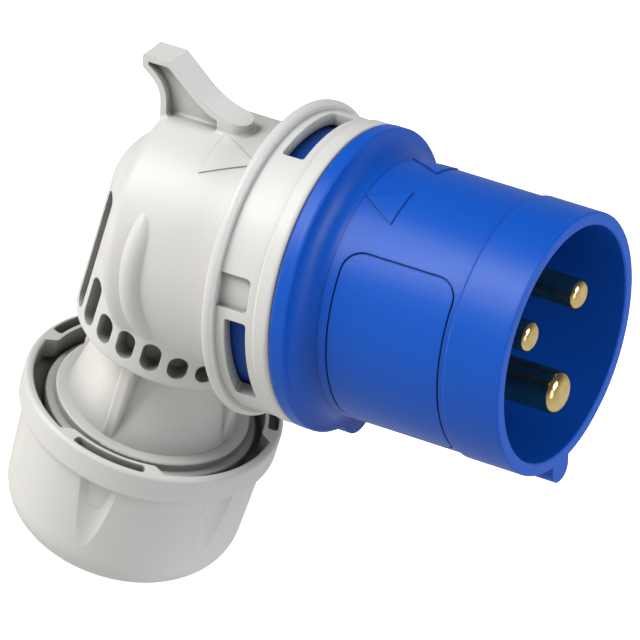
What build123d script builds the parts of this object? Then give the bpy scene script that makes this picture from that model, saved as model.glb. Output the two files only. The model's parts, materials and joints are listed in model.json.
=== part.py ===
"""Angled three-pin industrial plug: keyed shroud with pins, elbow housing and screwed cable gland.

Frame: +X is the way the plug is pushed into its socket, +Z is up, and the origin is the centre of
the shroud's mouth. The gland axis leaves the elbow downwards and leans back from -Z.
"""

import os
from math import cos, hypot, radians, sin

from build123d import *

os.makedirs("parts", exist_ok=True)

# Pins: positions are angles about +X, counted from +Z towards -Y
LINE_PIN_DIAMETER = 5.0
EARTH_PIN_DIAMETER = 7.0
PIN_CIRCLE_DIAMETER = 18.0
PIN_STEP_ANGLE = 120.0
PIN_SETBACK = 1.6
EARTH_PIN_LEAD = 1.5
PIN_TIP_ROUND = 0.9
PIN_GROOVE_WIDTH = 0.8
PIN_GROOVE_DEPTH = 0.2

# Screw terminals at the back of the pins
LINE_TERMINAL_DIAMETER = 8.0
EARTH_TERMINAL_DIAMETER = 9.0
TERMINAL_LENGTH = 15.0
WIRE_HOLE_DIAMETER = 3.8
WIRE_HOLE_DEPTH = 11.0
SCREW_DIAMETER = 4.0
SCREW_HEAD_DIAMETER = 5.8
SCREW_HEAD_HEIGHT = 1.8
SCREW_HEAD_GAP = 0.4
SCREW_SETBACK = 5.5
SCREW_SLOT_WIDTH = 0.9
SCREW_SLOT_DEPTH = 0.8

# Shroud with flange and bayonet spigot
SHROUD_BORE_DIAMETER = 38.5
SHROUD_WALL = 1.8
SHROUD_DEPTH = 36.4
SHROUD_FOOT_ROUND = 3.6
SHROUD_FOOT_LENGTH = 3.8
SHROUD_FOOT_STEP = 0.15
RIM_BAND_LENGTH = 9.7
RIM_BAND_RISE = 0.35
RIM_ROUND = 0.3
FLANGE_RISE = 3.85
FLANGE_THICKNESS = 2.6
FLANGE_ROUND = 0.4
KEY_WIDTH = 5.0
KEY_RISE = 3.7
KEY_ROUND = 2.3
LOBE_DIAMETER = 10.2
LOBE_RISE = 2.5
SPIGOT_LENGTH = 9.4
SPIGOT_RISE = 1.25
SEAT_STEP = 1.05

# Pin carrier behind the shroud's shoulder
CARRIER_NOSE = 0.8
CARRIER_SHOULDER_SETBACK = 1.2
CARRIER_FLANGE = 3.0
CARRIER_WALL = 2.4
PIN_SHOULDER_DEPTH = 5.0

# Bayonet ring at the housing's front
RING_WALL = 2.2
RING_LENGTH = 11.8
RING_ROUND = 1.0
RING_FLOOR = 1.3
BEAD_WIDTH = 2.8
BAND_SINK = 0.3
LIP_WIDTH = 1.8
LIP_RISE = 1.1
LIP_ROUND = 0.7
WINDOW_SPAN = 37.5
WINDOW_WIDTH = 3.9
WINDOW_SETBACK = 4.4
WINDOW_ROUND = 0.5
WINDOW_SIDE_ANGLE = 105.0
NOTCH_SPAN = 13.0
NOTCH_ANGLE = 75.5
NOTCH_DEPTH = 1.4
NOTCH_ROUND = 0.9

# Elbow body
BODY_WALL = 3.2
BODY_FOOT_ROUND = 1.2
BODY_REAR_ROUND = 3.0
BODY_OVERHANG = 7.9
REAR_WALL = 2.6
GLAND_SETBACK = 14.9
GLAND_LEAN = 15.0

# Grip ridges on the body's sides
GRIP_ANGLE = 87.0
GRIP_SPAN = 80.0
GRIP_STATIONS = (-1.0, -0.7, 0.0, 0.7, 1.0)
GRIP_SETBACK = 1.3
GRIP_WIDTH = 3.8
GRIP_CREST = 1.2
GRIP_BULGE = 1.9
GRIP_TAPER = 0.55
GRIP_RISE = 1.0
GRIP_CROWN = 0.5
GRIP_ROOT = 0.6

# Thumb tab on the body's top
TAB_THICKNESS = 5.0
TAB_WALL = 1.15
TAB_WEB = 1.8
TAB_HEIGHT = 9.7
TAB_TOP_LENGTH = 5.3
TAB_TOP_OVERHANG = 10.6
TAB_BACK_DROP = 2.2
TAB_NECK_INSET = 3.4
TAB_NECK_HEIGHT = 4.6
TAB_BACK_ROUND = 5.0
TAB_SLOPE_LENGTH = 7.2
TAB_SLOPE_FOOT = 3.0
TAB_SLOPE_ROUND = 13.0
TAB_FOOT_REACH = 8.2
TAB_FOOT_HEIGHT = 1.7
TAB_FOOT_ROUND = 2.3
TAB_FOOT_LENGTH = 4.9
TAB_JOIN_ROUND = 0.6
TAB_EDGE_ROUND = 0.5

# Skirt round the neck, with its row of pockets: angles about the gland axis, from the front
SKIRT_DIAMETER = 33.1
SKIRT_REACH = 19.5
SKIRT_TOP = 14.0
SKIRT_TOP_ROUND = 9.0
SKIRT_EDGE_ROUND = 0.5
SKIRT_BLEND = 2.0
POCKET_WIDTH = 3.2
POCKET_DEPTH = 3.2
POCKET_LAND = 1.9
POCKET_STEP = 16.0
POCKET_LAST_ANGLE = 172.0
POCKET_LENGTHS = (23.0, 23.0, 23.0, 9.0, 5.2, 5.2, 5.2, 4.2, 3.6, 3.4)

# Neck: cone with ribs, stepped flange and threaded end
CONE_LENGTH = 15.7
CONE_BASE_DIAMETER = 28.2
RIB_COUNT = 4
RIB_THICKNESS = 2.35
RIB_ROUND = 0.6
STEP_HEIGHT = 1.5
STEP_ONE_RISE = 2.0
STEP_TWO_RISE = 1.4
STEP_ROUND = 0.35
THREAD_STEP = 0.5
THREAD_WALL = 3.0
THREAD_LENGTH = 10.0
NECK_BORE_DIAMETER = 18.0
NECK_WALL = 1.7
SEAL_SEAT_DEPTH = 9.5

# Gland nut
NUT_RIM_RISE = 1.1
NUT_BAND_WALL = 1.5
NUT_BAND_HEIGHT = 5.2
NUT_BAND_ROUND = 0.7
NUT_BAND_STEP = 1.3
NUT_TAPER = 1.0
NUT_FOOT_ROUND = 7.0
NUT_HEIGHT = 27.4
NUT_MOUTH_DEPTH = 4.9
NUT_MOUTH_ROUND = 0.5
NUT_SHOULDER_WIDTH = 2.9
CABLE_HOLE_DIAMETER = 20.0
CABLE_HOLE_LENGTH = 3.5
FLUTE_COUNT = 6
FLUTE_FIRST_ANGLE = 20.0
FLUTE_DIAMETER = 9.0
FLUTE_DEPTH = 1.7
FLUTE_LENGTH = 15.0
FLUTE_RUNOUT = 1.15
PAD_WIDTH = 3.8
PAD_LENGTH = 6.0
PAD_SINK = 1.1
LUG_COUNT = 3
LUG_FIRST_ANGLE = 80.0
LUG_SPAN = 46.0
LUG_REACH = 1.6
LUG_HEIGHT = 3.6
LUG_SLOT_SPAN = 36.0
LUG_SLOT_WIDTH = 1.7
LUG_SLOT_DEPTH = 2.8
LUG_SLOT_ROUND = 0.6
LUG_SKIN = 0.6
LUG_FLARE = 5.0
LUG_ROUND = 0.8

# Gland inside: rubber seal, clamp cage and slip ring
SEAL_BORE_DIAMETER = 13.0
SEAL_GROOVE_DEPTH = 1.2
CAGE_COLLAR_INSET = 1.0
CAGE_COLLAR_HEIGHT = 2.6
CAGE_BORE_DIAMETER = 20.4
CAGE_FINGER_COUNT = 8
CAGE_FINGER_SPAN = 36.0
CAGE_FINGER_WALL = 1.1
CAGE_TIP_GAP = 2.6
SLIP_RING_THICKNESS = 1.0

# Clearances between pieces
PRESS_CLEARANCE = 0.05
SEAT_CLEARANCE = 0.1
BAYONET_CLEARANCE = 0.3
THREAD_CLEARANCE = 0.4
LUG_CLEARANCE = 0.9
CHAMBER_CLEARANCE = 1.3

# How near an edge may come to a wall or face it is compared with
JOIN_TOLERANCE = 0.02

# Stations along the plug axis
x_flange = -SHROUD_DEPTH
x_foot = x_flange + SHROUD_FOOT_LENGTH
x_ring = x_flange - FLANGE_THICKNESS
x_spigot_end = x_ring - SPIGOT_LENGTH
x_shoulder = x_flange - CARRIER_SHOULDER_SETBACK
x_floor = x_shoulder + CARRIER_NOSE
x_terminal = x_floor - PIN_SHOULDER_DEPTH
x_terminal_end = x_terminal - TERMINAL_LENGTH
x_screw = x_terminal_end + SCREW_SETBACK
x_ring_back = x_ring - RING_LENGTH
x_lip = x_ring_back + LIP_WIDTH
x_gland = x_ring_back - GLAND_SETBACK
x_rear = x_gland - BODY_OVERHANG

# Radii about the plug axis
bore_radius = SHROUD_BORE_DIAMETER / 2
shroud_radius = bore_radius + SHROUD_WALL
rim_radius = shroud_radius + RIM_BAND_RISE
flange_radius = shroud_radius + FLANGE_RISE
spigot_radius = shroud_radius + SPIGOT_RISE
seat_radius = bore_radius + SEAT_STEP
ring_bore_radius = spigot_radius + BAYONET_CLEARANCE
ring_radius = ring_bore_radius + RING_WALL
lip_radius = ring_radius + LIP_RISE
pin_circle_radius = PIN_CIRCLE_DIAMETER / 2
screw_top_radius = pin_circle_radius + EARTH_TERMINAL_DIAMETER / 2 + SCREW_HEAD_GAP + SCREW_HEAD_HEIGHT
chamber_radius = screw_top_radius + CHAMBER_CLEARANCE
body_radius = chamber_radius + BODY_WALL
carrier_boss_radius = pin_circle_radius + EARTH_TERMINAL_DIAMETER / 2 + CARRIER_WALL

# Stations along the gland axis, counted outwards from where it crosses the plug axis
w_base = SKIRT_REACH + CONE_LENGTH
w_thread = w_base + 2 * STEP_HEIGHT
w_neck_end = w_thread + THREAD_LENGTH
w_seat = w_neck_end - SEAL_SEAT_DEPTH
w_cage = w_neck_end + SEAT_CLEARANCE
w_slip_ring = w_cage + CAGE_COLLAR_HEIGHT + SEAT_CLEARANCE
w_nut_shoulder = w_slip_ring + SLIP_RING_THICKNESS + SEAT_CLEARANCE
w_nut_top = w_base - NUT_RIM_RISE
w_nut_end = w_nut_top + NUT_HEIGHT

# Radii about the gland axis
skirt_radius = SKIRT_DIAMETER / 2
neck_bore_radius = NECK_BORE_DIAMETER / 2
cone_radius = CONE_BASE_DIAMETER / 2
step_one_radius = cone_radius + STEP_ONE_RISE
step_two_radius = step_one_radius + STEP_TWO_RISE
thread_radius = step_two_radius - THREAD_STEP
seal_seat_radius = thread_radius - THREAD_WALL
nut_thread_radius = thread_radius + THREAD_CLEARANCE
nut_throat_radius = nut_thread_radius - NUT_SHOULDER_WIDTH
cable_hole_radius = CABLE_HOLE_DIAMETER / 2
lug_radius = step_two_radius + LUG_CLEARANCE
nut_mouth_radius = lug_radius + LUG_REACH
nut_band_radius = nut_mouth_radius + NUT_BAND_WALL
nut_top_radius = nut_band_radius - NUT_BAND_STEP
nut_foot_radius = nut_top_radius - NUT_TAPER
cage_collar_radius = thread_radius - CAGE_COLLAR_INSET
cage_bore_radius = CAGE_BORE_DIAMETER / 2
cage_finger_radius = cage_bore_radius + CAGE_FINGER_WALL

# Gland frame: its plane looks outwards along the gland, with its x towards the plug's front
lean = radians(GLAND_LEAN)
gland_centre = Vector(x_gland, 0, 0)
gland_out = Vector(-sin(lean), 0, -cos(lean))
gland_front = Vector(cos(lean), 0, -sin(lean))
gland_plane = Plane(origin=gland_centre, x_dir=gland_front, z_dir=gland_out)
gland_section = Plane(origin=gland_centre, x_dir=gland_front, z_dir=(0, 1, 0))
gland_axis = Axis(gland_centre, gland_out)


def ring_sector(inner, outer, middle, span, flare=0):
    """Add a slice of a ring to the sketch in work; a flare widens its outside at both ends."""
    start = middle - span / 2
    with BuildLine() as outline:
        outside = CenterArc((0, 0), outer, start - flare, span + 2 * flare)
        inside = CenterArc((0, 0), inner, start, span)
        Line(outside @ 0, inside @ 0)
        Line(outside @ 1, inside @ 1)
    make_face(outline.edges())


def clock_angle(angle):
    """Turn an angle from +Z towards -Y into the cross plane's own angle."""
    return 90 + angle


def pin_centre(angle):
    """Place of a pin on the cross plane."""
    turn = radians(clock_angle(angle))
    return (pin_circle_radius * cos(turn), pin_circle_radius * sin(turn))


def lies_on_body(edge):
    """Tell whether an edge lies on the body's round wall or inside it."""
    reach = body_radius + JOIN_TOLERANCE
    return all(hypot(point.Y, point.Z) < reach for point in (edge @ 0, edge @ 0.5, edge @ 1))


def lies_above_foot(edge):
    """Tell whether an edge lies above the skirt's foot, along the gland axis."""
    reach = SKIRT_REACH - JOIN_TOLERANCE
    return all((point - gland_centre).dot(gland_out) < reach for point in (edge @ 0, edge @ 0.5, edge @ 1))


def finish(piece, name):
    """Label a finished piece and write its file."""
    piece.part.label = name
    export_step(piece.part, f"parts/{name}.step")


# Collar shroud: mouth, flange and spigot turned about the plug axis, with the key below
with BuildPart() as collar_shroud:
    with BuildSketch(Plane.XZ):
        with BuildLine():
            FilletPolyline(
                (0, bore_radius),
                (0, rim_radius),
                (-RIM_BAND_LENGTH, rim_radius),
                (-RIM_BAND_LENGTH - RIM_BAND_RISE, shroud_radius),
                (x_foot, shroud_radius),
                (x_foot, shroud_radius - SHROUD_FOOT_STEP),
                (x_flange, shroud_radius - SHROUD_FOOT_STEP),
                (x_flange, flange_radius),
                (x_ring, flange_radius),
                (x_ring, spigot_radius),
                (x_spigot_end, spigot_radius),
                (x_spigot_end, seat_radius),
                (x_shoulder, seat_radius),
                (x_shoulder, bore_radius),
                radius=(
                    RIM_ROUND,
                    RIM_ROUND,
                    0,
                    0,
                    0,
                    0,
                    SHROUD_FOOT_ROUND,
                    FLANGE_ROUND,
                    FLANGE_ROUND,
                    0,
                    RIM_ROUND,
                    0,
                    0,
                    0,
                ),
                close=True,
            )
        make_face()
    revolve(axis=Axis.X)
    with BuildSketch(Plane.YZ):
        with Locations((0, -shroud_radius - KEY_RISE)):
            Rectangle(KEY_WIDTH, KEY_RISE + SHROUD_WALL / 2, align=(Align.CENTER, Align.MIN))
        key_corners = vertices().group_by(Axis.Y)[0]
        fillet(key_corners, KEY_ROUND)
    extrude(amount=x_flange)
    with BuildSketch(Plane.YZ.offset(x_flange)):
        with Locations((0, LOBE_DIAMETER / 2 - flange_radius - LOBE_RISE)):
            Circle(LOBE_DIAMETER / 2)
        Circle(shroud_radius, mode=Mode.SUBTRACT)
    extrude(amount=-FLANGE_THICKNESS)
finish(collar_shroud, "collar_shroud")

# Pins in order: node name, place, tip, pin and terminal diameters; the earth pin makes contact first
x_tip = -PIN_SETBACK
PINS = (
    ("line_pin", PIN_STEP_ANGLE / 2, x_tip, LINE_PIN_DIAMETER, LINE_TERMINAL_DIAMETER),
    ("neutral_pin", -PIN_STEP_ANGLE / 2, x_tip, LINE_PIN_DIAMETER, LINE_TERMINAL_DIAMETER),
    ("earth_pin", 180.0, x_tip + EARTH_PIN_LEAD, EARTH_PIN_DIAMETER, EARTH_TERMINAL_DIAMETER),
)


def screw_plane(angle):
    """Plane on a pin's axis that looks out along its terminal screw."""
    across, up = pin_centre(angle)
    turn = radians(clock_angle(angle))
    return Plane(origin=(x_screw, across, up), x_dir=(1, 0, 0), z_dir=(0, cos(turn), sin(turn)))


# Pin carrier: disc behind the shroud's shoulder, with a tower round each terminal
with BuildPart() as pin_carrier:
    with BuildSketch(Plane.YZ.offset(x_floor)):
        Circle(bore_radius - SEAT_CLEARANCE)
    extrude(amount=-CARRIER_NOSE)
    with BuildSketch(Plane.YZ.offset(x_shoulder)):
        Circle(seat_radius - SEAT_CLEARANCE)
    extrude(amount=-CARRIER_FLANGE)
    with BuildSketch(Plane.YZ.offset(x_shoulder - CARRIER_FLANGE)):
        Circle(pin_circle_radius)
        for _, angle, _, _, terminal_diameter in PINS:
            with Locations(pin_centre(angle)):
                Circle(terminal_diameter / 2 + CARRIER_WALL)
    extrude(amount=x_terminal_end - x_shoulder + CARRIER_FLANGE)
    for _, angle, _, pin_diameter, terminal_diameter in PINS:
        with BuildSketch(Plane.YZ.offset(x_floor)):
            with Locations(pin_centre(angle)):
                Circle(pin_diameter / 2 + PRESS_CLEARANCE)
        extrude(amount=-PIN_SHOULDER_DEPTH, mode=Mode.SUBTRACT)
        with BuildSketch(Plane.YZ.offset(x_terminal)):
            with Locations(pin_centre(angle)):
                Circle(terminal_diameter / 2 + PRESS_CLEARANCE)
        extrude(amount=-TERMINAL_LENGTH, mode=Mode.SUBTRACT)
        with BuildSketch(screw_plane(angle)):
            Circle(SCREW_HEAD_DIAMETER / 2 + SEAT_CLEARANCE)
        extrude(amount=carrier_boss_radius, mode=Mode.SUBTRACT)
finish(pin_carrier, "pin_carrier")

# Pins: round contact in front with a relief groove at its foot, shoulder and drilled terminal behind
for pin_name, angle, pin_tip, pin_diameter, terminal_diameter in PINS:
    across, up = pin_centre(angle)
    with BuildPart() as pin:
        with BuildSketch(Plane(origin=(0, across, up), x_dir=(1, 0, 0), z_dir=(0, -1, 0))):
            with BuildLine():
                FilletPolyline(
                    (pin_tip, 0),
                    (pin_tip, pin_diameter / 2),
                    (x_floor + PIN_GROOVE_WIDTH, pin_diameter / 2),
                    (x_floor + PIN_GROOVE_WIDTH, pin_diameter / 2 - PIN_GROOVE_DEPTH),
                    (x_floor, pin_diameter / 2 - PIN_GROOVE_DEPTH),
                    (x_floor, pin_diameter / 2),
                    (x_terminal, pin_diameter / 2),
                    (x_terminal, terminal_diameter / 2),
                    (x_terminal_end, terminal_diameter / 2),
                    (x_terminal_end, WIRE_HOLE_DIAMETER / 2),
                    (x_terminal_end + WIRE_HOLE_DEPTH, WIRE_HOLE_DIAMETER / 2),
                    (x_terminal_end + WIRE_HOLE_DEPTH, 0),
                    radius=(0, PIN_TIP_ROUND, 0, 0, 0, 0, 0, 0, 0, 0, 0, 0),
                    close=True,
                )
            make_face()
        revolve(axis=Axis((0, across, up), (1, 0, 0)))
        with BuildSketch(screw_plane(angle)):
            Circle(SCREW_DIAMETER / 2)
        extrude(amount=terminal_diameter, mode=Mode.SUBTRACT)
    finish(pin, pin_name)

    # Terminal screw: its tip reaches into the wire hole and its head stands clear of the terminal
    head_seat = terminal_diameter / 2 + SCREW_HEAD_GAP
    with BuildPart() as screw:
        with BuildSketch(screw_plane(angle).offset(WIRE_HOLE_DIAMETER / 4)):
            Circle(SCREW_DIAMETER / 2 - PRESS_CLEARANCE)
        extrude(amount=head_seat - WIRE_HOLE_DIAMETER / 4)
        with BuildSketch(screw_plane(angle).offset(head_seat)):
            Circle(SCREW_HEAD_DIAMETER / 2)
        extrude(amount=SCREW_HEAD_HEIGHT)
        with BuildSketch(screw_plane(angle).offset(head_seat + SCREW_HEAD_HEIGHT)):
            Rectangle(SCREW_HEAD_DIAMETER, SCREW_SLOT_WIDTH)
        extrude(amount=-SCREW_SLOT_DEPTH, mode=Mode.SUBTRACT)
    finish(screw, pin_name.replace("pin", "screw"))

# Grip ridge: a crescent on the body's near side that bows backwards and sinks in at both ends
with BuildPart() as grip:
    for turn in GRIP_STATIONS:
        angle = radians(clock_angle(GRIP_ANGLE + GRIP_SPAN / 2 * turn))
        edge_x = x_gland - GRIP_SETBACK - GRIP_BULGE * (1 - turn**2)
        crest = body_radius + GRIP_RISE - (GRIP_RISE + GRIP_ROOT / 2) * turn**4
        narrow = 1 - GRIP_TAPER * turn**4
        with BuildSketch(Plane(origin=(0, 0, 0), x_dir=(1, 0, 0), z_dir=(0, sin(angle), -cos(angle)))):
            with BuildLine():
                edge_foot = (edge_x, body_radius - GRIP_ROOT)
                edge_top = (edge_x, crest - GRIP_CROWN)
                far_foot = (edge_x + GRIP_WIDTH * narrow, body_radius - GRIP_ROOT)
                Line(edge_foot, edge_top)
                ThreePointArc(edge_top, (edge_x + GRIP_CREST * narrow, crest), far_foot)
                Line(far_foot, edge_foot)
            make_face()
    loft()

# Thumb tab: outline on the plug's middle plane, with a sunk panel on each side
tab_back = x_gland - TAB_TOP_OVERHANG
tab_top = body_radius + TAB_HEIGHT
tab_neck = tab_back + TAB_NECK_INSET
tab_slope_end = tab_back + TAB_TOP_LENGTH + TAB_SLOPE_LENGTH
tab_foot = x_gland + TAB_FOOT_REACH
with BuildPart() as thumb_tab:
    with BuildSketch(Plane.XZ) as tab_outline:
        with BuildLine():
            FilletPolyline(
                (tab_back, tab_top),
                (tab_back + TAB_TOP_LENGTH, tab_top),
                (tab_slope_end, body_radius + TAB_SLOPE_FOOT),
                (tab_foot, body_radius + TAB_FOOT_HEIGHT),
                (tab_foot, chamber_radius),
                (tab_neck, chamber_radius),
                (tab_neck, body_radius + TAB_NECK_HEIGHT),
                (tab_back, tab_top - TAB_BACK_DROP),
                radius=(
                    TAB_EDGE_ROUND,
                    TAB_EDGE_ROUND,
                    TAB_SLOPE_ROUND,
                    0,
                    0,
                    0,
                    TAB_BACK_ROUND,
                    TAB_EDGE_ROUND,
                ),
                close=True,
            )
        make_face()
    extrude(amount=TAB_THICKNESS / 2, both=True)
    foot_edges = edges().filter_by(Axis.Z).group_by(Axis.X)[-1]
    fillet(foot_edges, TAB_FOOT_ROUND)
    with BuildSketch(Plane.XZ.offset(TAB_WEB / 2)) as tab_panel:
        add(tab_outline.face())
        offset(amount=-TAB_WALL, mode=Mode.REPLACE)
        with Locations((tab_foot - TAB_FOOT_LENGTH, tab_top)):
            Rectangle(TAB_FOOT_LENGTH, 2 * tab_top, align=(Align.MIN, Align.CENTER), mode=Mode.SUBTRACT)
    extrude(amount=TAB_THICKNESS, mode=Mode.SUBTRACT)
    with BuildSketch(Plane.XZ.offset(-TAB_WEB / 2)):
        add(tab_panel.face())
    extrude(amount=-TAB_THICKNESS, mode=Mode.SUBTRACT)

# Ring window: cutter with rounded corners, at the top of the ring
with BuildPart() as ring_window:
    with BuildSketch(Plane.YZ.offset(x_ring - WINDOW_SETBACK)):
        ring_sector(chamber_radius, lip_radius, clock_angle(0), WINDOW_SPAN)
    extrude(amount=-WINDOW_WIDTH)
    window_corners = edges().filter_by(GeomType.LINE).filter_by(Axis.X, reverse=True)
    fillet(window_corners, WINDOW_ROUND)

# Ring notch: blind cutter that ends at the lip, with its front corners rounded
with BuildPart() as ring_notch:
    with BuildSketch(Plane.YZ.offset(x_ring - WINDOW_SETBACK)):
        ring_sector(ring_radius - NOTCH_DEPTH, lip_radius, clock_angle(0), NOTCH_SPAN)
    extrude(amount=x_lip - x_ring + WINDOW_SETBACK)
    notch_corners = edges().filter_by(GeomType.LINE).filter_by(Axis.X, reverse=True).group_by(Axis.X)[-1]
    fillet(notch_corners, NOTCH_ROUND)

# Elbow housing: bayonet ring, body, skirt, neck and thumb tab in one moulding
with BuildPart() as elbow_housing:
    with BuildSketch(Plane.XZ):
        with BuildLine():
            FilletPolyline(
                (x_ring, 0),
                (x_ring, ring_radius),
                (x_ring - BEAD_WIDTH, ring_radius),
                (x_ring - BEAD_WIDTH - BAND_SINK, ring_radius - BAND_SINK),
                (x_lip, ring_radius - BAND_SINK),
                (x_lip, lip_radius),
                (x_ring_back, lip_radius),
                (x_ring_back, body_radius),
                (x_rear, body_radius),
                (x_rear, 0),
                radius=(0, RING_ROUND, 0, 0, 0, LIP_ROUND, LIP_ROUND, BODY_FOOT_ROUND, BODY_REAR_ROUND, 0),
                close=True,
            )
        make_face()
    revolve(axis=Axis.X)
    with BuildSketch(gland_section):
        with BuildLine():
            FilletPolyline(
                (0, -SKIRT_TOP),
                (skirt_radius, -SKIRT_TOP),
                (skirt_radius, SKIRT_REACH),
                (neck_bore_radius + NECK_WALL, SKIRT_REACH),
                (cone_radius, w_base),
                (step_one_radius, w_base),
                (step_one_radius, w_base + STEP_HEIGHT),
                (step_two_radius, w_base + STEP_HEIGHT),
                (step_two_radius, w_thread),
                (thread_radius, w_thread),
                (thread_radius, w_neck_end),
                (0, w_neck_end),
                radius=(0, SKIRT_TOP_ROUND, SKIRT_EDGE_ROUND, 0, 0, STEP_ROUND, 0, STEP_ROUND, 0, 0, 0, 0),
                close=True,
            )
        make_face()
    revolve(axis=gland_axis)
    curved_edges = edges(Select.NEW).filter_by(GeomType.CIRCLE, reverse=True)
    skirt_joint = curved_edges.filter_by(GeomType.LINE, reverse=True).filter_by(lies_above_foot)
    fillet(skirt_joint, SKIRT_BLEND)
    with BuildSketch(gland_plane.offset(SKIRT_REACH)):
        with PolarLocations(cone_radius / 2, RIB_COUNT):
            Rectangle(cone_radius, RIB_THICKNESS)
        rib_corners = vertices().sort_by_distance((0, 0, 0))[-2 * RIB_COUNT :]
        fillet(rib_corners, RIB_ROUND)
    extrude(amount=CONE_LENGTH)
    add(grip.part)
    add(grip.part.mirror(Plane.XZ))
    add(thumb_tab.part)
    tab_joint = edges(Select.NEW).filter_by(lies_on_body)
    fillet(tab_joint, TAB_JOIN_ROUND)

    # Chamber for the wires, ring bore and the way through the neck
    with BuildSketch(Plane.YZ.offset(x_ring)):
        Circle(ring_bore_radius)
    extrude(amount=RING_FLOOR - RING_LENGTH, mode=Mode.SUBTRACT)
    with BuildSketch(Plane.YZ.offset(x_ring)):
        Circle(chamber_radius)
    extrude(amount=x_rear + REAR_WALL - x_ring, mode=Mode.SUBTRACT)
    with BuildSketch(gland_plane):
        Circle(neck_bore_radius)
    extrude(amount=w_neck_end, mode=Mode.SUBTRACT)
    with BuildSketch(gland_plane.offset(w_seat)):
        Circle(seal_seat_radius)
    extrude(amount=SEAL_SEAT_DEPTH, mode=Mode.SUBTRACT)

    # Windows through the ring and blind notches beside them
    for angle in (0, WINDOW_SIDE_ANGLE, -WINDOW_SIDE_ANGLE):
        add(ring_window.part.rotate(Axis.X, angle), mode=Mode.SUBTRACT)
    for angle in (NOTCH_ANGLE, -NOTCH_ANGLE):
        add(ring_notch.part.rotate(Axis.X, angle), mode=Mode.SUBTRACT)

    # Row of pockets round the skirt, the same on both sides
    for index, length in enumerate(POCKET_LENGTHS):
        for side in (1, -1):
            turn = radians(POCKET_LAST_ANGLE - POCKET_STEP * index) * side
            outward = gland_front * cos(turn) - Vector(0, sin(turn), 0)
            along = SKIRT_REACH - POCKET_LAND - length / 2
            floor = gland_centre + gland_out * along + outward * (skirt_radius - POCKET_DEPTH)
            with BuildSketch(Plane(origin=floor, x_dir=gland_out, z_dir=outward)):
                SlotOverall(length, POCKET_WIDTH)
            extrude(amount=2 * POCKET_DEPTH, mode=Mode.SUBTRACT)
finish(elbow_housing, "elbow_housing")

# Flute cutter: a round bar that leans outwards, so that its scoop runs out on the nut's foot
with BuildPart() as flute:
    w_flute = w_nut_top + NUT_BAND_HEIGHT
    flute_top = nut_top_radius + FLUTE_DIAMETER / 2 - FLUTE_DEPTH
    with BuildSketch(gland_plane.offset(w_flute)):
        with Locations((flute_top, 0)):
            Circle(FLUTE_DIAMETER / 2)
    with BuildSketch(gland_plane.offset(w_flute + FLUTE_LENGTH)):
        with Locations((flute_top + FLUTE_RUNOUT, 0)):
            Circle(FLUTE_DIAMETER / 2)
    loft()

# Flute pad: a small round-ended pad that stands in a flute, under the nut's band
with BuildPart() as flute_pad:
    pad_top = gland_centre + gland_out * w_flute + gland_front * (nut_top_radius - PAD_SINK)
    with BuildSketch(Plane(origin=pad_top, x_dir=gland_out, z_dir=gland_front)):
        SlotOverall(2 * PAD_LENGTH, PAD_WIDTH)
        Rectangle(2 * PAD_LENGTH, PAD_WIDTH, align=(Align.MAX, Align.CENTER), mode=Mode.SUBTRACT)
    extrude(amount=-2 * (FLUTE_DEPTH - PAD_SINK))

# Gland nut: turned cap with a smooth band, scooped flutes and three slotted lugs in its mouth
with BuildPart() as gland_nut:
    with BuildSketch(gland_section):
        with BuildLine():
            FilletPolyline(
                (nut_mouth_radius, w_nut_top),
                (nut_band_radius, w_nut_top),
                (nut_band_radius, w_nut_top + NUT_BAND_HEIGHT),
                (nut_top_radius, w_nut_top + NUT_BAND_HEIGHT),
                (nut_foot_radius, w_nut_end),
                (cable_hole_radius, w_nut_end),
                (cable_hole_radius, w_nut_end - CABLE_HOLE_LENGTH),
                (nut_throat_radius, w_nut_shoulder),
                (nut_thread_radius, w_nut_shoulder),
                (nut_thread_radius, w_nut_top + NUT_MOUTH_DEPTH),
                (nut_mouth_radius, w_nut_top + NUT_MOUTH_DEPTH),
                radius=(
                    NUT_MOUTH_ROUND,
                    NUT_BAND_ROUND,
                    NUT_BAND_ROUND,
                    0,
                    NUT_FOOT_ROUND,
                    0,
                    0,
                    0,
                    0,
                    0,
                    0,
                ),
                close=True,
            )
        make_face()
    revolve(axis=gland_axis)
    for index in range(FLUTE_COUNT):
        turned = flute.part.rotate(gland_axis, FLUTE_FIRST_ANGLE + 360 / FLUTE_COUNT * index)
        add(turned, mode=Mode.SUBTRACT)
        pad = flute_pad.part.rotate(gland_axis, FLUTE_FIRST_ANGLE + 360 / FLUTE_COUNT * index)
        add(pad)
    with BuildSketch(gland_plane.offset(w_nut_top)):
        for index in range(LUG_COUNT):
            middle = LUG_FIRST_ANGLE + 360 / LUG_COUNT * index
            ring_sector(lug_radius, nut_mouth_radius + LUG_SKIN, middle, LUG_SPAN, LUG_FLARE)
        lug_corners = vertices().sort_by_distance((0, 0, 0))[: 2 * LUG_COUNT]
        fillet(lug_corners, LUG_ROUND)
    extrude(amount=LUG_HEIGHT)
    with BuildSketch(gland_plane.offset(w_nut_top)):
        slot_inside = lug_radius + LUG_SKIN
        for index in range(LUG_COUNT):
            middle = LUG_FIRST_ANGLE + 360 / LUG_COUNT * index
            ring_sector(slot_inside, slot_inside + LUG_SLOT_WIDTH, middle, LUG_SLOT_SPAN)
        fillet(vertices(), LUG_SLOT_ROUND)
    extrude(amount=LUG_SLOT_DEPTH, mode=Mode.SUBTRACT)
finish(gland_nut, "gland_nut")

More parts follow.
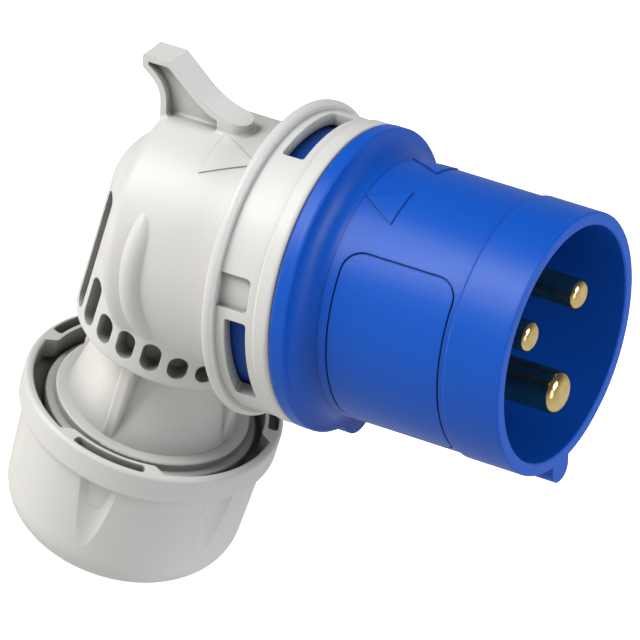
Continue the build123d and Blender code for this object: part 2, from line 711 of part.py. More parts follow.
# Cable seal: rubber sleeve in the neck's seat, with a groove half-way in its bore
with BuildPart() as cable_seal:
    seal_radius = seal_seat_radius - SEAT_CLEARANCE
    seal_bore_radius = SEAL_BORE_DIAMETER / 2
    w_seal_middle = w_seat + SEAL_SEAT_DEPTH / 2
    with BuildSketch(gland_section):
        with BuildLine():
            Polyline(
                (seal_bore_radius, w_seat),
                (seal_radius, w_seat),
                (seal_radius, w_neck_end),
                (seal_bore_radius, w_neck_end),
                (seal_bore_radius, w_seal_middle + SEAL_GROOVE_DEPTH),
                (seal_bore_radius + SEAL_GROOVE_DEPTH, w_seal_middle),
                (seal_bore_radius, w_seal_middle - SEAL_GROOVE_DEPTH),
                close=True,
            )
        make_face()
    revolve(axis=gland_axis)
finish(cable_seal, "cable_seal")

# Clamp cage: collar on the neck's end, with fingers that the nut's throat closes on the cable
with BuildPart() as clamp_cage:
    with BuildSketch(gland_plane.offset(w_cage)):
        Circle(cage_collar_radius)
        Circle(cage_bore_radius, mode=Mode.SUBTRACT)
    extrude(amount=CAGE_COLLAR_HEIGHT)
    with BuildSketch(gland_plane.offset(w_cage + CAGE_COLLAR_HEIGHT)):
        for index in range(CAGE_FINGER_COUNT):
            middle = 360 / CAGE_FINGER_COUNT * index
            ring_sector(cage_bore_radius, cage_finger_radius, middle, CAGE_FINGER_SPAN)
    extrude(amount=w_nut_end - CABLE_HOLE_LENGTH - CAGE_TIP_GAP - w_cage - CAGE_COLLAR_HEIGHT)
finish(clamp_cage, "clamp_cage")

# Slip ring: flat washer that rides down with the nut and doesn't turn
with BuildPart() as slip_ring:
    with BuildSketch(gland_plane.offset(w_slip_ring)):
        Circle(cage_collar_radius)
        Circle(cage_finger_radius + BAYONET_CLEARANCE, mode=Mode.SUBTRACT)
    extrude(amount=SLIP_RING_THICKNESS)
finish(slip_ring, "slip_ring")
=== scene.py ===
"""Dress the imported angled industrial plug: shells, marks, thread, finishes and a small studio."""

import json
from math import cos, pi, radians, sin

import bpy
from mathutils import Matrix, Vector


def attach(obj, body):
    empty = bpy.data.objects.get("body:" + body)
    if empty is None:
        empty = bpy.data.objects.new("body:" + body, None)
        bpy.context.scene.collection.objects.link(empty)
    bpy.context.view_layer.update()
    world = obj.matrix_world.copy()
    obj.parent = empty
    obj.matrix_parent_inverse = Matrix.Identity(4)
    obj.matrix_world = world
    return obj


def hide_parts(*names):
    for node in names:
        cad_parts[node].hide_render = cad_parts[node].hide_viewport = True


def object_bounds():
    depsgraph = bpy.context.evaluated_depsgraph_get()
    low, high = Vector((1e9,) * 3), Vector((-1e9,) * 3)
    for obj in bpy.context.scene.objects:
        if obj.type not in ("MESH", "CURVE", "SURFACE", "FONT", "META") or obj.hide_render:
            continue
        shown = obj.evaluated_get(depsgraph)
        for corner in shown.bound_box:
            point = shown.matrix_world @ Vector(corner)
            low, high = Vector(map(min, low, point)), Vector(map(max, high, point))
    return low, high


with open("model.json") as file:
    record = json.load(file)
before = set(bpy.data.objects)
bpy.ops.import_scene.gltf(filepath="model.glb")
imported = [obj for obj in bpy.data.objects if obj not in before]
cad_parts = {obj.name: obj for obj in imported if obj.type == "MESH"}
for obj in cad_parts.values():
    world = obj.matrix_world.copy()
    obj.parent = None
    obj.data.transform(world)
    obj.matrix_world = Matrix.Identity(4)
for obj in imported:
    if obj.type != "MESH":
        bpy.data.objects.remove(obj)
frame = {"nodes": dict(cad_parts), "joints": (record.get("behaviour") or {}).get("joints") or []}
CAD_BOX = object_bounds()

bl_info = {
    "name": "Angled Industrial Plug",
    "version": (1, 0, 0),
    "blender": (4, 5, 0),
    "location": "3D View > Sidebar > Plug",
    "description": "Dresses the plug's packed frame with shells, marks, a thread and moulded finishes",
    "category": "Object",
}

MM = 0.001
ROOT_BODY = "plug"

# Gland axis: the nut's own joint gives it, and its centre is taken at the plug axis's height
GLAND_JOINT = next(joint for joint in frame["joints"] if joint["name"] == "gland_turn")
GLAND_OUT = Vector(GLAND_JOINT["axis"]).normalized()
GLAND_CENTRE = Vector(GLAND_JOINT["pos_m"])
GLAND_CENTRE -= GLAND_OUT * GLAND_CENTRE.z / GLAND_OUT.z
GLAND_TURN = Vector((0, 0, 1)).rotation_difference(GLAND_OUT).to_matrix().to_4x4()

# Where most of a noise's values lie
NOISE_RANGE = (0.3, 0.7)

# Moulded plastic: how much of each colour is mixed in, and how dark or pale that colour is
STREAK_SHARE = 0.35
SPECKLE_SHARE = 0.12
SPECKLE_RANGE = (0.55, 0.8)
SPECKLE_SHADE = 0.8
# Painted highlight along the edges: how much paler colour is mixed in, where it starts and how pale it
# is
EDGE_SHARE = 0.3
EDGE_RANGE = (0.8, 0.99)
EDGE_SHADE = 1.3
# Painted shade in recesses: how much darker colour is mixed in, where it starts and how dark it is
RECESS_SHARE = 0.88
RECESS_CLOSED = 0.25
RECESS_SHADE = 0.25
RECESS_SAMPLES = 4

# Studio
WHITE = (1, 1, 1, 1)
FLOOR_SIZE = 12
FLOOR_GLOW = 0.85
SURROUND_RANGE = (-0.5, 0.5)
SENSOR_WIDTH = 36
VIEW_DEPTH = 50
NEUTRAL = (1.0, 1.0, 1.0)
WARM = (1.0, 0.96, 0.86)
COOL = (0.90, 0.96, 1.0)

# Name, place, width and colour of each soft light; its power is in the studio's settings
LIGHTS = (
    ("key", (-0.9, -0.6, 1.3), 1.0, NEUTRAL),
    ("side", (1.3, 0.0, 0.7), 0.8, COOL),
    ("left", (-1.3, -0.7, 0.0), 0.8, WARM),
    ("fill", (1.2, -0.7, 0.1), 0.8, COOL),
)


# Settings


def number(name, description, default, least, most):
    """Plain number property."""
    return bpy.props.FloatProperty(
        name=name, description=description, default=default, min=least, max=most
    )


def count(name, description, default, least, most):
    """Whole number property."""
    return bpy.props.IntProperty(
        name=name, description=description, default=default, min=least, max=most
    )


def length(name, description, default):
    """Length property, in metres."""
    return bpy.props.FloatProperty(
        name=name, description=description, default=default, unit="LENGTH", precision=5
    )


def angle(name, description, degrees):
    """Angle property, with its default given in degrees."""
    return bpy.props.FloatProperty(
        name=name, description=description, default=radians(degrees), subtype="ANGLE"
    )


def colour(name, description, default):
    """Linear colour property."""
    return bpy.props.FloatVectorProperty(
        name=name, description=description, default=default, size=3, subtype="COLOR", min=0, max=1
    )


def place(name, description, default):
    """Point property, in metres."""
    return bpy.props.FloatVectorProperty(
        name=name, description=description, default=default, size=3, subtype="XYZ", unit="LENGTH"
    )


class PlugSizes(bpy.types.PropertyGroup):
    """Sizes of what is added to the frame."""

    weld: length("Weld", "Distance at which a copied shell's corners are joined", 0.002 * MM)
    smooth_angle: angle("Smooth angle", "Edges sharper than this stay crisp", 32)
    edge_round: length("Edge round", "How wide a moulded edge looks rounded", 0.3 * MM)
    # Reach of the painted shade that darkens the colour in recesses
    recess_reach: length("Recess reach", "How far across a recess still looks dull", 10 * MM)
    collar_radius: length("Collar radius", "Collar's outside behind the rim band", 21.05 * MM)
    label_back: length("Label back", "Label frame's edge next to the flange", -31.0 * MM)
    label_front: length("Label front", "Label frame's edge next to the rim band", -10.8 * MM)
    label_top: angle("Label top", "Label frame's upper edge, counted from the top", 45)
    label_bottom: angle("Label bottom", "Label frame's lower edge, counted from the top", 140)
    label_round: length("Label corner", "Corner radius of the label frame", 3.6 * MM)
    label_steps: count("Label steps", "Steps of a rounded corner of the label frame", 10, 2, 40)
    groove_width: length("Groove width", "Width of the label frame's groove", 0.28 * MM)
    groove_depth: length("Groove depth", "Depth of the label frame's groove", 0.3 * MM)
    arrow_rise: length("Arrow rise", "Height of the raised closing arrows", 0.2 * MM)
    arrow_sink: length("Arrow root", "How far an arrow's root lies under the surface", 0.3 * MM)
    arrow_angle: angle("Arrow angle", "Place of the closing arrows, counted from the top", 19.7)
    arrow_span: length("Arrow span", "Width of a collar arrow's base", 7.4 * MM)
    collar_arrow_tip: length("Collar arrow tip", "Tip of a collar arrow", -32.4 * MM)
    collar_arrow_base: length("Collar arrow base", "Base of a collar arrow", -26.0 * MM)
    body_radius: length("Body radius", "Outside of the housing's body", 20.2 * MM)
    body_arrow_tip: length("Body arrow tip", "Tip of the body's arrow", -52.4 * MM)
    body_arrow_base: length("Body arrow base", "Base of the body's arrow", -60.6 * MM)
    body_arrow_span: length("Body arrow span", "Width of the body arrow's base", 9.0 * MM)
    wrap_step: length("Wrap step", "Width of the strips that let a flat mark bend", 0.6 * MM)
    tip_reach: length("Tip reach", "Part of a pin that its tip is measured on", 1.5 * MM)
    tip_share: number("Tip share", "Round of a pin's tip, as a share of its radius", 0.46, 0.1, 0.95)
    tip_steps: count("Tip steps", "Steps of a pin's rounded tip", 10, 2, 40)
    thread_radius: length("Thread radius", "Core of the neck's thread", 17.0 * MM)
    thread_rise: length("Thread rise", "Height of the thread's ridge", 0.3 * MM)
    thread_width: length("Thread width", "Width of the thread's ridge at its root", 1.5 * MM)
    thread_crest: length("Thread crest", "Width of the thread's ridge at its crest", 0.6 * MM)
    thread_pitch: length("Thread pitch", "Advance of the thread for one turn", 3.0 * MM)
    thread_start: length("Thread start", "Start of the thread, along the gland axis", 39.6 * MM)
    thread_turns: count("Thread turns", "Whole turns of the thread", 2, 1, 6)
    thread_steps: count("Thread steps", "Steps of one turn of the thread", 64, 8, 256)


class PlugColours(bpy.types.PropertyGroup):
    """Colours of the finishes."""

    housing: colour("Housing", "Light grey moulded plastic", (0.74, 0.73, 0.70))
    collar: colour("Collar", "Royal blue moulded plastic", (0.003, 0.095, 0.56))
    carrier: colour("Carrier", "Dark blue moulded plastic", (0.004, 0.04, 0.24))
    brass: colour("Brass", "Polished brass", (0.93, 0.69, 0.29))
    steel: colour("Steel", "Zinc plated steel", (0.62, 0.62, 0.60))
    rubber: colour("Rubber", "Black sealing rubber", (0.025, 0.025, 0.027))
    clamp: colour("Clamp", "Mid grey moulded plastic", (0.30, 0.31, 0.31))
    floor: colour("Floor", "Pale studio floor", (0.90, 0.90, 0.90))


class PlugStudio(bpy.types.PropertyGroup):
    """Camera and light of the studio."""

    azimuth: angle("Azimuth", "Camera's turn about the vertical, from -Y towards +X", 29.97)
    elevation: angle("Elevation", "Camera's height angle", 30.13)
    roll: angle("Roll", "Camera's turn about its own axis", 1.57)
    target: place("Target", "Point that the camera looks at", (-0.0454, 0.0021, -0.0110))
    distance: length("Distance", "Camera's distance from its target", 1.2683)
    lens: number("Lens", "Focal length in millimetres", 450, 1, 5000)
    world_strength: number("Surround above", "Brightness of the surround overhead", 0.10, 0, 5)
    ground_strength: number("Surround below", "Brightness of the surround underfoot", 0.58, 0, 5)
    key_power: number("Key power", "Watts of the light from the upper left", 25, 0, 500)
    side_power: number("Side power", "Watts of the light from the right", 13, 0, 500)
    left_power: number("Left power", "Watts of the low light from the left", 6, 0, 500)
    fill_power: number("Fill power", "Watts of the low light from the front right", 2.5, 0, 500)


def sizes():
    """The scene's sizes."""
    return bpy.context.scene.plug_sizes


def colours():
    """The scene's colours."""
    return bpy.context.scene.plug_colours


# Modelling helpers


def deselect_all():
    """Leave edit mode and clear the selection."""
    if bpy.context.object and bpy.context.object.mode != "OBJECT":
        bpy.ops.object.mode_set(mode="OBJECT")
    bpy.ops.object.select_all(action="DESELECT")


def activate(piece):
    """Make one piece the only selected and active one."""
    deselect_all()
    piece.select_set(True)
    bpy.context.view_layer.objects.active = piece


def edit(piece):
    """Open a piece in edit mode with all of it selected."""
    activate(piece)
    bpy.ops.object.mode_set(mode="EDIT")
    bpy.ops.mesh.select_all(action="SELECT")


def close_edit():
    """Go back to object mode."""
    bpy.ops.object.mode_set(mode="OBJECT")


def select_corners(piece, wanted):
    """Open a piece in edit mode with only the wanted corners selected."""
    edit(piece)
    bpy.ops.mesh.select_mode(type="VERT")
    bpy.ops.mesh.select_all(action="DESELECT")
    close_edit()
    for vertex in piece.data.vertices:
        vertex.select = wanted(vertex.co)
    bpy.ops.object.mode_set(mode="EDIT")


def apply_modifier(piece, kind, **settings):
    """Add a modifier, set it and apply it."""
    activate(piece)
    modifier = piece.modifiers.new(kind.title(), kind)
    for key, value in settings.items():
        setattr(modifier, key, value)
    bpy.ops.object.modifier_apply(modifier=modifier.name)


def settle(piece):
    """Put a piece's place into its mesh."""
    activate(piece)
    bpy.ops.object.transform_apply(location=True, rotation=True, scale=True)


def smooth(piece):
    """Shade a piece smooth, with crisp edges where its faces turn sharply."""
    activate(piece)
    bpy.ops.object.shade_smooth_by_angle(angle=sizes().smooth_angle)


def face_outwards(piece):
    """Merge doubled corners and point all faces outwards."""
    edit(piece)
    bpy.ops.mesh.remove_doubles(threshold=sizes().weld)
    bpy.ops.mesh.normals_make_consistent(inside=False)
    close_edit()


def shell_copy(node, name):
    """Welded copy of a frame node, ready to be worked on."""
    piece = bpy.data.objects.new(name, frame["nodes"][node].data.copy())
    bpy.context.collection.objects.link(piece)
    piece.data.materials.clear()
    activate(piece)
    if piece.data.has_custom_normals:
        bpy.ops.mesh.customdata_custom_splitnormals_clear()
    edit(piece)
    bpy.ops.mesh.remove_doubles(threshold=sizes().weld)
    close_edit()
    return piece


def flat_plate(name, across, up, centre):
    """Flat rectangle on the XZ plane."""
    deselect_all()
    bpy.ops.mesh.primitive_plane_add(size=1, rotation=(pi / 2, 0, 0))
    plate = bpy.context.object
    plate.name = name
    plate.scale = (across, up, 1)
    plate.location = centre
    settle(plate)
    return plate


def dress(piece, finish, body, slot, *nodes):
    """Give a finished piece its material and its body, and hide the nodes it stands for; the slot is
    not used.
    """
    piece.data.materials.clear()
    piece.data.materials.append(finish)
    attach(piece, body)
    if nodes:
        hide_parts(*nodes)


def paint_node(node, finish):
    """Give a frame node its material."""
    target = frame["nodes"][node].data.materials
    target.clear()
    target.append(finish)


def strip_cuts(piece, low, high, step):
    """Cut a flat mark into strips across the bend."""
    edit(piece)
    strips = int((high - low) / step)
    for index in range(1, strips):
        bpy.ops.mesh.select_all(action="SELECT")
        cut = low + (high - low) * index / strips
        bpy.ops.mesh.bisect(plane_co=(0, 0, cut), plane_no=(0, 0, 1))
    close_edit()


def wrap_round_axis(piece, radius):
    """Bend a flat mark, drawn on the XZ plane, round the plug axis."""
    heights = [corner[2] for corner in piece.bound_box]
    apply_modifier(
        piece,
        "SIMPLE_DEFORM",
        deform_method="BEND",
        deform_axis="X",
        angle=(max(heights) - min(heights)) / radius,
    )
    piece.location.y = -radius
    settle(piece)


def unrolled(turn, radius):
    """Height on the flat drawing of an angle counted from the top."""
    return radius * (pi / 2 - turn)


def thicken(piece, inwards, outwards):
    """Extrude a flat mark on the XZ plane so that it reaches both ways through the surface."""
    edit(piece)
    bpy.ops.transform.translate(value=(0, inwards, 0))
    outward_move = {"value": (0, -inwards - outwards, 0)}
    bpy.ops.mesh.extrude_region_move(TRANSFORM_OT_translate=outward_move)
    close_edit()
    face_outwards(piece)


# Material helpers


def start_finish(name, metallic=0.0, specular=0.5):
    """New node material with its constants set on the shader."""
    finish = bpy.data.materials.new(f"{name}_finish")
    finish.use_nodes = True
    shader = finish.node_tree.nodes["Principled BSDF"]
    shader.inputs["Metallic"].default_value = metallic
    shader.inputs["Specular IOR Level"].default_value = specular
    return finish, finish.node_tree, shader


def add_noise(tree, scale, detail, stretch=(1, 1, 1)):
    """Noise on object coordinates; its scale is in waves a metre."""
    coords = tree.nodes.new("ShaderNodeTexCoord")
    mapping = tree.nodes.new("ShaderNodeMapping")
    mapping.inputs["Scale"].default_value = stretch
    texture = tree.nodes.new("ShaderNodeTexNoise")
    texture.inputs["Scale"].default_value = scale
    texture.inputs["Detail"].default_value = detail
    tree.links.new(coords.outputs["Object"], mapping.inputs["Vector"])
    tree.links.new(mapping.outputs["Vector"], texture.inputs["Vector"])
    return texture.outputs["Fac"]


def spread(tree, driver, low, high, seen=NOISE_RANGE):
    """Map the range in which a value is seen onto another range."""
    node = tree.nodes.new("ShaderNodeMapRange")
    node.inputs["From Min"].default_value = seen[0]
    node.inputs["From Max"].default_value = seen[1]
    node.inputs["To Min"].default_value = low
    node.inputs["To Max"].default_value = high
    tree.links.new(driver, node.inputs["Value"])
    return node.outputs["Result"]


def blend_colours(tree, driver, first, second):
    """Mix two colours by a factor; the first may come from another node."""
    node = tree.nodes.new("ShaderNodeMix")
    node.data_type = "RGBA"
    for socket, value in (("A", first), ("B", second)):
        target = next(item for item in node.inputs if item.name == socket and item.type == "RGBA")
        if isinstance(value, bpy.types.NodeSocket):
            tree.links.new(value, target)
        else:
            target.default_value = (*value, 1.0)
    tree.links.new(driver, node.inputs["Factor"])
    return next(item for item in node.outputs if item.type == "RGBA")


def shaded(base, factor):
    """A colour made darker or lighter."""
    return tuple(min(1.0, channel * factor) for channel in base)


def vary(tree, shader, driver, base, shades, roughness):
    """Let a noise vary how dark and how rough a finish is."""
    darkest, lightest = (shaded(base, factor) for factor in shades)
    toned = blend_colours(tree, spread(tree, driver, 0, 1), darkest, lightest)
    tree.links.new(toned, shader.inputs["Base Color"])
    tree.links.new(spread(tree, driver, *roughness), shader.inputs["Roughness"])


def bump(tree, shader, driver, strength, height, below=None):
    """Raise the surface by a noise, on top of the normal of what lies below."""
    node = tree.nodes.new("ShaderNodeBump")
    node.inputs["Strength"].default_value = strength
    node.inputs["Distance"].default_value = height
    tree.links.new(driver, node.inputs["Height"])
    if below:
        tree.links.new(below, node.inputs["Normal"])
    tree.links.new(node.outputs["Normal"], shader.inputs["Normal"])
    return node.outputs["Normal"]


def recess(tree, open_share):
    """Painted shade: factor that grows where a surface sees less than an open share of its
    surroundings, to darken the colour in recesses.
    """
    node = tree.nodes.new("ShaderNodeAmbientOcclusion")
    node.samples = RECESS_SAMPLES
    node.inputs["Distance"].default_value = sizes().recess_reach
    return spread(tree, node.outputs["AO"], RECESS_SHARE, 0, (RECESS_CLOSED, open_share))


def worn_edges(tree, rounded):
    """Painted highlight: factor that grows along the edges, where a rounded normal leaves the face's
    own one.
    """
    own = tree.nodes.new("ShaderNodeNewGeometry")
    match = tree.nodes.new("ShaderNodeVectorMath")
    match.operation = "DOT_PRODUCT"
    tree.links.new(rounded, match.inputs[0])
    tree.links.new(own.outputs["Normal"], match.inputs[1])
    return spread(tree, match.outputs["Value"], EDGE_SHARE, 0, EDGE_RANGE)


def moulded_plastic(name, base, roughness, grain, tone, specular=0.5, open_share=0.7):
    """Moulded plastic: cloudy tone, flow streaks, speckle, a painted highlight along the edges,
    painted shade in recesses, grain.
    """
    finish, tree, shader = start_finish(name, specular=specular)
    darker = shaded(base, 1 - tone)
    lighter = shaded(base, 1 + tone)
    cloud = add_noise(tree, scale=45, detail=4)
    streak = add_noise(tree, scale=140, detail=3, stretch=(0.25, 1, 1))
    speckle = add_noise(tree, scale=2600, detail=2)
    fine_grain = add_noise(tree, scale=5200, detail=2)
    edge_node = tree.nodes.new("ShaderNodeBevel")
    edge_node.inputs["Radius"].default_value = sizes().edge_round
    rounded = edge_node.outputs["Normal"]
    flecks = spread(tree, speckle, 0, SPECKLE_SHARE, SPECKLE_RANGE)
    toned = blend_colours(tree, spread(tree, cloud, 0, 1), darker, lighter)
    streaked = blend_colours(tree, spread(tree, streak, 0, STREAK_SHARE), toned, darker)
    flecked = blend_colours(tree, flecks, streaked, shaded(base, SPECKLE_SHADE))
    # Painted highlight: the colour is made paler along the edges
    edge_highlight_painted = blend_colours(tree, worn_edges(tree, rounded), flecked, shaded(base, EDGE_SHADE))
    # Painted shade: the colour is darkened in recesses and where parts meet
    painted_recess_shade = blend_colours(tree, recess(tree, open_share), edge_highlight_painted, shaded(base, RECESS_SHADE))
    tree.links.new(painted_recess_shade, shader.inputs["Base Color"])
    tree.links.new(spread(tree, streak, *roughness), shader.inputs["Roughness"])
    waves = bump(tree, shader, cloud, strength=0.06, height=0.4 * MM, below=rounded)
    bump(tree, shader, fine_grain, strength=grain, height=0.02 * MM, below=waves)
    return finish


# Finishes


def housing_plastic():
    """Warm light grey plastic of the housing and the nut."""
    return moulded_plastic(
        "housing_plastic", colours().housing, roughness=(0.36, 0.46), grain=0.25, tone=0.015
    )


def collar_plastic():
    """Royal blue plastic of the collar."""
    return moulded_plastic(
        "collar_plastic",
        colours().collar,
        roughness=(0.36, 0.43),
        grain=0.04,
        tone=0.03,
        specular=0.3,
        # Painted shade on the collar starts only where little of the surroundings is open
        open_share=0.92,
    )


def carrier_plastic():
    """Dark blue plastic of the pin carrier."""
    return moulded_plastic(
        "carrier_plastic", colours().carrier, roughness=(0.42, 0.55), grain=0.3, tone=0.08
    )


def clamp_plastic():
    """Mid grey plastic of the clamp cage and the slip ring."""
    return moulded_plastic(
        "clamp_plastic", colours().clamp, roughness=(0.4, 0.55), grain=0.3, tone=0.05
    )


def pin_brass():
    """Turned and polished brass: fine rings, handling haze and a slight change of tone."""
    finish, tree, shader = start_finish("pin_brass", metallic=1.0)
    haze = add_noise(tree, scale=420, detail=4)
    rings = add_noise(tree, scale=900, detail=2, stretch=(6, 0.02, 0.02))
    vary(tree, shader, haze, colours().brass, shades=(0.84, 1.08), roughness=(0.13, 0.20))
    bump(tree, shader, rings, strength=0.12, height=0.01 * MM)
    return finish


def screw_steel():
    """Zinc plated screw steel with brushed lines."""
    finish, tree, shader = start_finish("screw_steel", metallic=1.0)
    brush = add_noise(tree, scale=700, detail=3, stretch=(1, 1, 7))
    vary(tree, shader, brush, colours().steel, shades=(0.8, 1.1), roughness=(0.22, 0.42))
    bump(tree, shader, brush, strength=0.15, height=0.02 * MM)
    return finish


def seal_rubber():
    """Matt black rubber with a dusty bloom."""
    finish, tree, shader = start_finish("seal_rubber", specular=0.35)
    bloom = add_noise(tree, scale=160, detail=5)
    skin = add_noise(tree, scale=3800, detail=2)
    vary(tree, shader, bloom, colours().rubber, shades=(1, 1.9), roughness=(0.62, 0.82))
    bump(tree, shader, skin, strength=0.3, height=0.03 * MM)
    return finish


def floor_paint():
    """Pale studio floor, lit a little from within, with a barely seen unevenness."""
    finish, tree, shader = start_finish("floor_paint", specular=0.2)
    cloud = add_noise(tree, scale=3, detail=3)
    vary(tree, shader, cloud, colours().floor, shades=(0.985, 1), roughness=(0.75, 0.85))
    shader.inputs["Emission Color"].default_value = WHITE
    shader.inputs["Emission Strength"].default_value = FLOOR_GLOW
    return finish


def shared_finish(make):
    """A finish that several pieces share, made once; the frame's own materials lack the ending."""
    return bpy.data.materials.get(f"{make.__name__}_finish") or make()


# Pieces


def label_cutter():
    """Cutter for the label frame: a rounded flat frame, bent round the collar."""
    s = sizes()
    top = unrolled(s.label_top, s.collar_radius)
    bottom = unrolled(s.label_bottom, s.collar_radius)
    centre = ((s.label_front + s.label_back) / 2, 0, (top + bottom) / 2)
    cutter = flat_plate("label_cutter", s.label_front - s.label_back, top - bottom, centre)
    edit(cutter)
    bpy.ops.mesh.bevel(offset=s.label_round, segments=s.label_steps, affect="VERTICES")
    bpy.ops.mesh.select_all(action="SELECT")
    bpy.ops.mesh.inset(thickness=s.groove_width)
    bpy.ops.mesh.delete(type="FACE")
    close_edit()
    strip_cuts(cutter, bottom, top, s.wrap_step)
    thicken(cutter, s.groove_depth, s.groove_depth)
    wrap_round_axis(cutter, s.collar_radius)
    face_outwards(cutter)
    return cutter


def raised_arrow(name, tip, base, span, turn, radius):
    """Raised triangle on a round wall, with its base across the plug axis."""
    s = sizes()
    middle = unrolled(turn, radius)
    arrow = flat_plate(name, abs(tip - base), span, ((tip + base) / 2, 0, middle))
    select_corners(arrow, lambda corner: abs(corner.x - tip) < abs(corner.x - base))
    bpy.ops.mesh.merge(type="CENTER")
    close_edit()
    strip_cuts(arrow, middle - span / 2, middle + span / 2, s.wrap_step)
    thicken(arrow, s.arrow_sink, s.arrow_rise)
    wrap_round_axis(arrow, radius)
    face_outwards(arrow)
    smooth(arrow)
    return arrow


def round_tipped_pin(name):
    """Copy of a pin whose tip is cut off and drawn again with a fuller round."""
    s = sizes()
    pin = shell_copy(name, f"{name}_shell")
    corners = [vertex.co.copy() for vertex in pin.data.vertices]
    tip = max(corner.x for corner in corners)
    front = [corner for corner in corners if corner.x > tip - s.tip_reach]
    across = [min(corner.y for corner in front), max(corner.y for corner in front)]
    up = [min(corner.z for corner in front), max(corner.z for corner in front)]
    centre = Vector((tip, sum(across) / 2, sum(up) / 2))
    radius = (across[1] - across[0]) / 2
    fillet = s.tip_share * radius
    foot = centre - Vector((fillet, 0, 0))
    edit(pin)
    bpy.ops.mesh.bisect(plane_co=foot, plane_no=(1, 0, 0), use_fill=True, clear_outer=True)
    width = radius
    for index in range(s.tip_steps):
        turns = [pi / 2 * (index + step) / s.tip_steps for step in (0, 1)]
        onward = fillet * (sin(turns[1]) - sin(turns[0]))
        narrowed = radius - fillet * (1 - cos(turns[1]))
        share = narrowed / width
        bpy.ops.mesh.extrude_region_move(TRANSFORM_OT_translate={"value": (onward, 0, 0)})
        bpy.ops.transform.resize(value=(1, share, share), center_override=centre)
        width = narrowed
    close_edit()
    face_outwards(pin)
    smooth(pin)
    return pin


class PLUG_OT_collar(bpy.types.Operator):
    """Blue collar: welded shell with the label frame's groove"""

    bl_idname = "plug.collar"
    bl_label = "Collar"

    def execute(self, context):
        shell = shell_copy("collar_shroud", "collar_shell")
        cutter = label_cutter()
        apply_modifier(shell, "BOOLEAN", operation="DIFFERENCE", object=cutter, solver="EXACT")
        bpy.data.objects.remove(cutter)
        smooth(shell)
        apply_modifier(shell, "WEIGHTED_NORMAL", keep_sharp=True)
        dress(shell, shared_finish(collar_plastic), ROOT_BODY, "collar_plastic", "collar_shroud")
        return {"FINISHED"}


class PLUG_OT_closing_arrows(bpy.types.Operator):
    """Raised closing arrows on the collar and on the housing's body"""

    bl_idname = "plug.closing_arrows"
    bl_label = "Closing arrows"

    def execute(self, context):
        s = sizes()
        on_collar = (s.collar_arrow_tip, s.collar_arrow_base, s.arrow_span)
        on_body = (s.body_arrow_tip, s.body_arrow_base, s.body_arrow_span)
        for side, turn in (("near", s.arrow_angle), ("far", -s.arrow_angle)):
            arrow = raised_arrow(f"collar_arrow_{side}", *on_collar, turn, s.collar_radius)
            dress(arrow, shared_finish(collar_plastic), ROOT_BODY, "collar_plastic")
        arrow = raised_arrow("body_arrow", *on_body, s.arrow_angle, s.body_radius)
        dress(arrow, shared_finish(housing_plastic), ROOT_BODY, "housing_plastic")
        return {"FINISHED"}


class PLUG_OT_housing(bpy.types.Operator):
    """Light grey elbow housing"""

    bl_idname = "plug.housing"
    bl_label = "Housing"

    def execute(self, context):
        paint_node("elbow_housing", shared_finish(housing_plastic))
        return {"FINISHED"}


class PLUG_OT_nut(bpy.types.Operator):
    """Light grey gland nut"""

    bl_idname = "plug.nut"
    bl_label = "Gland nut"

    def execute(self, context):
        paint_node("gland_nut", shared_finish(housing_plastic))
        return {"FINISHED"}


class PLUG_OT_thread(bpy.types.Operator):
    """Thread on the housing's neck: a ridge swept along a helix"""

    bl_idname = "plug.thread"
    bl_label = "Neck thread"

    def execute(self, context):
        s = sizes()
        centre = (s.thread_radius, 0, s.thread_start)
        ridge = flat_plate("neck_thread", 2 * s.thread_rise, s.thread_width, centre)
        select_corners(ridge, lambda corner: corner.x > s.thread_radius)
        bpy.ops.transform.resize(value=(1, 1, s.thread_crest / s.thread_width))
        bpy.ops.mesh.select_all(action="SELECT")
        bpy.ops.mesh.delete(type="ONLY_FACE")
        close_edit()
        apply_modifier(
            ridge,
            "SCREW",
            angle=2 * pi,
            screw_offset=s.thread_pitch,
            iterations=s.thread_turns,
            steps=s.thread_steps,
            render_steps=s.thread_steps,
            axis="Z",
        )
        edit(ridge)
        bpy.ops.mesh.select_all(action="DESELECT")
        bpy.ops.mesh.select_non_manifold()
        bpy.ops.mesh.edge_face_add()
        close_edit()
        face_outwards(ridge)
        ridge.data.transform(Matrix.Translation(GLAND_CENTRE) @ GLAND_TURN)
        smooth(ridge)
        dress(ridge, shared_finish(housing_plastic), ROOT_BODY, "housing_plastic")
        return {"FINISHED"}


class PLUG_OT_pins(bpy.types.Operator):
    """Brass pins, their steel screws and the dark blue carrier"""

    bl_idname = "plug.pins"
    bl_label = "Pins and carrier"

    def execute(self, context):
        for name in ("line", "neutral", "earth"):
            pin = round_tipped_pin(f"{name}_pin")
            dress(pin, shared_finish(pin_brass), ROOT_BODY, "pin_brass", f"{name}_pin")
            paint_node(f"{name}_screw", shared_finish(screw_steel))
        paint_node("pin_carrier", shared_finish(carrier_plastic))
        return {"FINISHED"}


class PLUG_OT_gland_inside(bpy.types.Operator):
    """Rubber seal, clamp cage and slip ring inside the gland"""

    bl_idname = "plug.gland_inside"
    bl_label = "Gland inside"

    def execute(self, context):
        paint_node("cable_seal", shared_finish(seal_rubber))
        paint_node("clamp_cage", shared_finish(clamp_plastic))
        paint_node("slip_ring", shared_finish(clamp_plastic))
        return {"FINISHED"}


# Studio


def camera_matrix(studio):
    """Camera's place and turn, from its angles, target and distance."""
    a, e, r = studio.azimuth, studio.elevation, studio.roll
    back = Vector((sin(a) * cos(e), -cos(a) * cos(e), sin(e)))
    level = Vector((cos(a), sin(a), 0))
    rise = back.cross(level)
    right = level * cos(r) + rise * sin(r)
    up = rise * cos(r) - level * sin(r)
    turn = Matrix((right, up, back)).transposed().to_4x4()
    return Matrix.Translation(Vector(studio.target) + back * studio.distance) @ turn


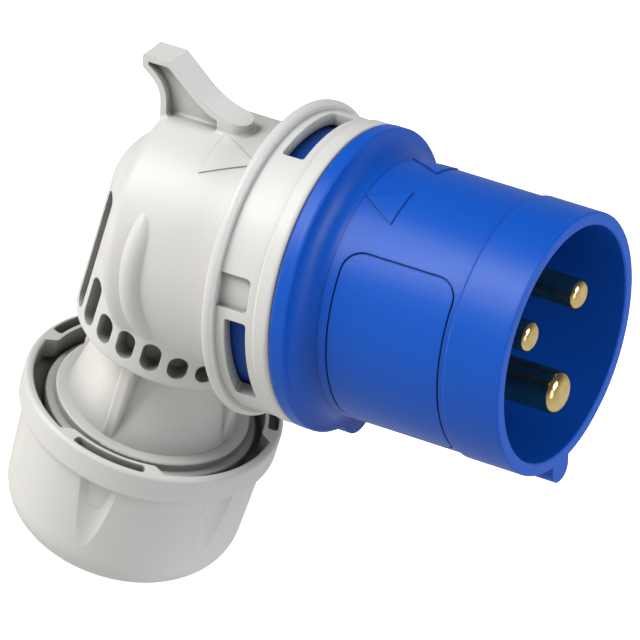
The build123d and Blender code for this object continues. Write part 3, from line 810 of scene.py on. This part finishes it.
def add_area(name, position, aim, size, watts, tint):
    """Soft square light that looks at a point."""
    light = bpy.data.lights.new(name, "AREA")
    light.size = size
    light.energy = watts
    light.color = tint
    holder = bpy.data.objects.new(name, light)
    bpy.context.collection.objects.link(holder)
    way = Vector(aim) - Vector(position)
    holder.location = position
    holder.rotation_euler = way.to_track_quat("-Z", "Y").to_euler()


def surround(studio):
    """White surround that fades from underfoot to overhead."""
    world = bpy.data.worlds.new("studio_surround")
    world.use_nodes = True
    tree = world.node_tree
    coords = tree.nodes.new("ShaderNodeTexCoord")
    split = tree.nodes.new("ShaderNodeSeparateXYZ")
    tree.links.new(coords.outputs["Generated"], split.inputs["Vector"])
    ends = (studio.ground_strength, studio.world_strength)
    level = spread(tree, split.outputs["Z"], *ends, SURROUND_RANGE)
    tree.nodes["Background"].inputs["Color"].default_value = WHITE
    tree.links.new(level, tree.nodes["Background"].inputs["Strength"])
    return world


class PLUG_OT_studio(bpy.types.Operator):
    """Pale floor, soft light and the camera"""

    bl_idname = "plug.studio"
    bl_label = "Studio"

    def execute(self, context):
        studio = context.scene.plug_studio
        deselect_all()
        bpy.ops.mesh.primitive_plane_add(size=FLOOR_SIZE, location=(0, 0, CAD_BOX[0][2]))
        floor = context.object
        floor.name = "studio_floor"
        floor.data.materials.append(floor_paint())
        floor.visible_diffuse = False
        floor.visible_glossy = False
        floor.visible_shadow = False
        context.scene.world = surround(studio)
        for name, position, size, tint in LIGHTS:
            watts = getattr(studio, f"{name}_power")
            add_area(f"{name}_light", position, studio.target, size, watts, tint)
        camera = bpy.data.objects.new("camera", bpy.data.cameras.new("camera"))
        context.collection.objects.link(camera)
        camera.data.lens = studio.lens
        camera.data.sensor_width = SENSOR_WIDTH
        camera.data.clip_end = VIEW_DEPTH
        camera.matrix_world = camera_matrix(studio)
        context.scene.camera = camera
        context.scene.view_settings.view_transform = "Standard"
        return {"FINISHED"}


GROUPS = {"plug_sizes": PlugSizes, "plug_colours": PlugColours, "plug_studio": PlugStudio}
OPERATORS = (
    PLUG_OT_collar,
    PLUG_OT_closing_arrows,
    PLUG_OT_housing,
    PLUG_OT_nut,
    PLUG_OT_thread,
    PLUG_OT_pins,
    PLUG_OT_gland_inside,
    PLUG_OT_studio,
)


class PLUG_PT_panel(bpy.types.Panel):
    """Panel that lists the plug's pieces and settings"""

    bl_idname = "PLUG_PT_panel"
    bl_label = "Angled plug"
    bl_space_type = "VIEW_3D"
    bl_region_type = "UI"
    bl_category = "Plug"

    def draw(self, context):
        for operator in OPERATORS:
            self.layout.operator(operator.bl_idname)
        for name, kind in GROUPS.items():
            box = self.layout.box()
            for key in kind.__annotations__:
                box.prop(getattr(context.scene, name), key)


CLASSES = (*GROUPS.values(), *OPERATORS, PLUG_PT_panel)


def register():
    """Register the classes and hang the settings on the scene."""
    for item in CLASSES:
        bpy.utils.register_class(item)
    for name, kind in GROUPS.items():
        setattr(bpy.types.Scene, name, bpy.props.PointerProperty(type=kind))


def unregister():
    """Undo what register did."""
    for name in GROUPS:
        delattr(bpy.types.Scene, name)
    for item in reversed(CLASSES):
        bpy.utils.unregister_class(item)


def main():
    """Make the pieces in order."""
    register()
    bpy.ops.plug.collar()
    bpy.ops.plug.closing_arrows()
    bpy.ops.plug.housing()
    bpy.ops.plug.nut()
    bpy.ops.plug.thread()
    bpy.ops.plug.pins()
    bpy.ops.plug.gland_inside()
    bpy.ops.plug.studio()


if __name__ == "__main__":
    main()
